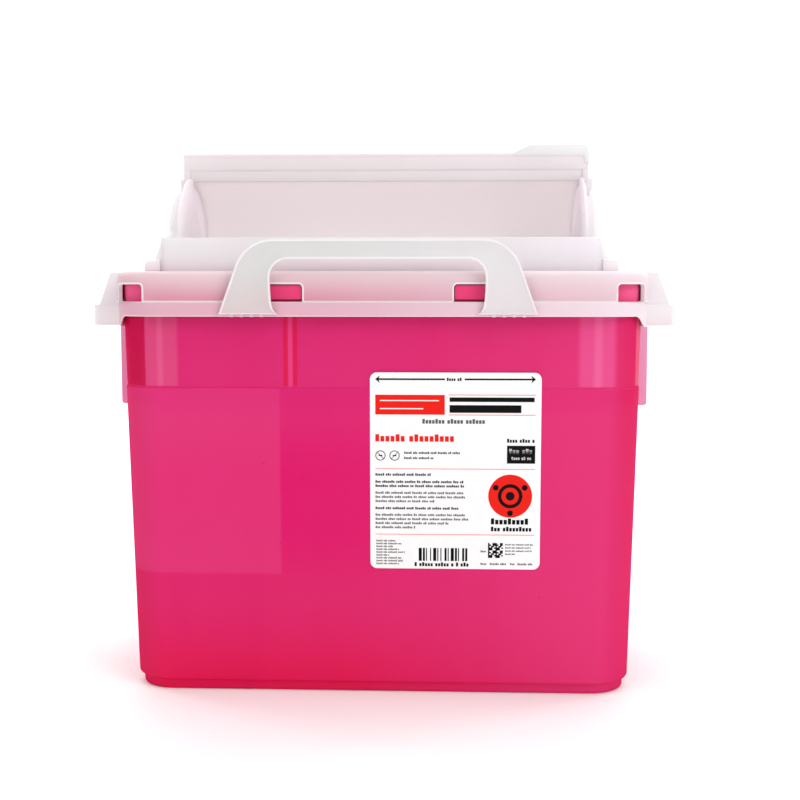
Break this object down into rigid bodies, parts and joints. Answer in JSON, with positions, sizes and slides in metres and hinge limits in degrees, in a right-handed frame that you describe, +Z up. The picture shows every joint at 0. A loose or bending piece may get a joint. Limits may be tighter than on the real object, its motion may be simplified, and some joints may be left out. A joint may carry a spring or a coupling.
{
  "type": "sharps container",
  "caption": "Tapered translucent waste tub with a press-on lid, a counterbalanced drum door that tips sharps inside, and a fold-down carry handle.",
  "frame": {"origin": "on the ground under the middle of the object's bounding box", "axes": "+Z up, -Y towards the front with the label and the handle, +X to the right of a person facing the front"},
  "size_m": [0.31, 0.1515, 0.289],
  "materials": {
    "tub_plastic": "translucent magenta polypropylene, satin gloss",
    "rail_plastic": "thin translucent magenta polypropylene",
    "label_paper": null,
    "lid_plastic": "natural milky polypropylene, fine matte",
    "door_plastic": "natural milky polypropylene, fine matte",
    "handle_plastic": "natural milky polypropylene, fine matte"
  },
  "bodies": {
    "container": {"container_shell": "tub_plastic", "foot_ring": "tub_plastic", "nesting_ribs": "tub_plastic", "side_rails_left": "rail_plastic", "side_rails_right": "rail_plastic", "snap_lugs_front": "tub_plastic", "snap_lugs_back": "tub_plastic", "front_label": "label_paper", "lid_skirt": "lid_plastic", "lid_dome": "lid_plastic", "grip_ear_left": "lid_plastic", "grip_ear_right": "lid_plastic", "end_ledge_left": "lid_plastic", "end_ledge_right": "lid_plastic", "chute_front_wall": "lid_plastic", "chute_back_wall": "lid_plastic", "cheek_left": "lid_plastic", "cheek_right": "lid_plastic", "door_stops": "lid_plastic"},
    "door": {"drum_shell": "door_plastic", "drum_end_left": "door_plastic", "drum_end_right": "door_plastic", "trunnion_left": "door_plastic", "trunnion_right": "door_plastic", "door_flange": "door_plastic", "door_lip": "door_plastic", "thumb_tab": "door_plastic"},
    "handle": {"handle_strap": "handle_plastic", "hinge_webs_left": "handle_plastic", "hinge_webs_right": "handle_plastic"}
  },
  "joints": [
    {"name": "door_hinge", "type": "hinge", "parent": "container", "child": "door", "pos_m": [0, -0.00245, 0.233], "axis": [1, 0, 0], "range_deg": [0, 83]},
    {"name": "handle_hinge", "type": "hinge", "parent": "container", "child": "handle", "pos_m": [0, -0.07535, 0.1969], "axis": [1, 0, 0], "range_deg": [0, 175]}
  ]
}
